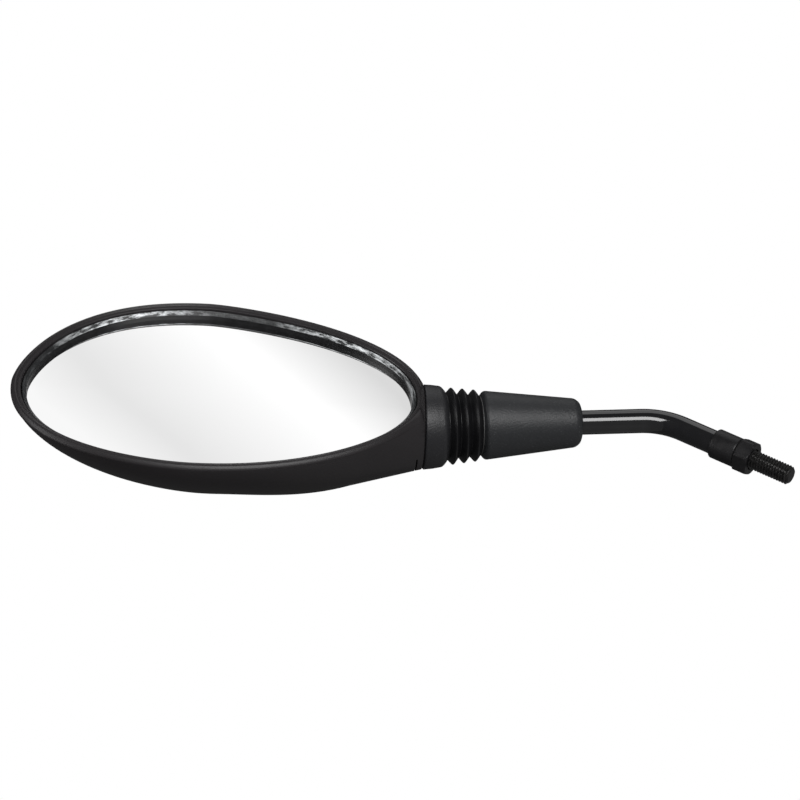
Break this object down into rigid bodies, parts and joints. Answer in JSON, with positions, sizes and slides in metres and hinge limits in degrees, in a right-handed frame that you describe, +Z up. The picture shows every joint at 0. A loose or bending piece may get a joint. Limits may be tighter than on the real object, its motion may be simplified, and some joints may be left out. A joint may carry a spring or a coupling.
{
  "type": "motorcycle wing mirror",
  "caption": "Oval black wing mirror for a motorcycle: deep housing with convex glass, ribbed boot over a ball joint, tapered sleeve, bent stem, lock nut and threaded stud.",
  "frame": {"origin": "on the stud axis at the lock nut's lower face, where the nut meets the perch it is tightened on", "axes": "+Z up the stud axis into the stem; -Y the way the glass faces; the bent neck and the head lean to -X"},
  "size_m": [0.1867, 0.0439, 0.2817],
  "materials": {
    "gloss_black": "gloss",
    "black_zinc": "satin",
    "zinc_steel": "satin",
    "sleeve_plastic": "matt",
    "inner_plastic": "matt",
    "boot_rubber": "satin",
    "white_nylon": "satin",
    "cast_zinc": "satin",
    "housing_plastic": "satin",
    "foam": "matt",
    "mirror": "gloss"
  },
  "bodies": {
    "stem": {"stem_tube": "gloss_black", "stud_fitting": "black_zinc", "ball_stud": "zinc_steel", "taper_sleeve": "sleeve_plastic", "sleeve_bush": "inner_plastic", "boot_ring": "inner_plastic", "bellows": "boot_rubber"},
    "nut": {"lock_nut": "black_zinc"},
    "liner": {"ball_liner": "white_nylon"},
    "cup": {"pressure_cup": "cast_zinc"},
    "head": {"ball_socket": "cast_zinc", "thrust_washer": "zinc_steel", "disc_springs": "zinc_steel", "tension_plug": "cast_zinc", "neck_collar": "housing_plastic", "housing_shell": "housing_plastic", "support_bracket": "zinc_steel", "clamp_bolt": "zinc_steel", "bracket_screws": "zinc_steel", "backing_plate": "inner_plastic", "foam_pad": "foam", "mirror_glass": "mirror", "glass_seal": "boot_rubber"}
  },
  "joints": [
    {"name": "nut_travel", "type": "slide", "parent": "stem", "child": "nut", "axis": [0, 0, -1], "range_m": [0, 0.0113]},
    {"name": "head_swing", "type": "hinge", "parent": "stem", "child": "liner", "pos_m": [-0.05577, 0, 0.10541], "axis": [0.7478, 0, 0.6639], "range_deg": [-9, 9], "deforming": ["bellows"]},
    {"name": "head_cant", "type": "hinge", "parent": "liner", "child": "cup", "pos_m": [-0.05577, 0, 0.10541], "axis": [0, 1, 0], "range_deg": [-9, 9]},
    {"name": "head_roll", "type": "hinge", "parent": "cup", "child": "head", "pos_m": [-0.05577, 0, 0.10541], "axis": [-0.6639, 0, 0.7478], "range_deg": [-40, 40]}
  ]
}
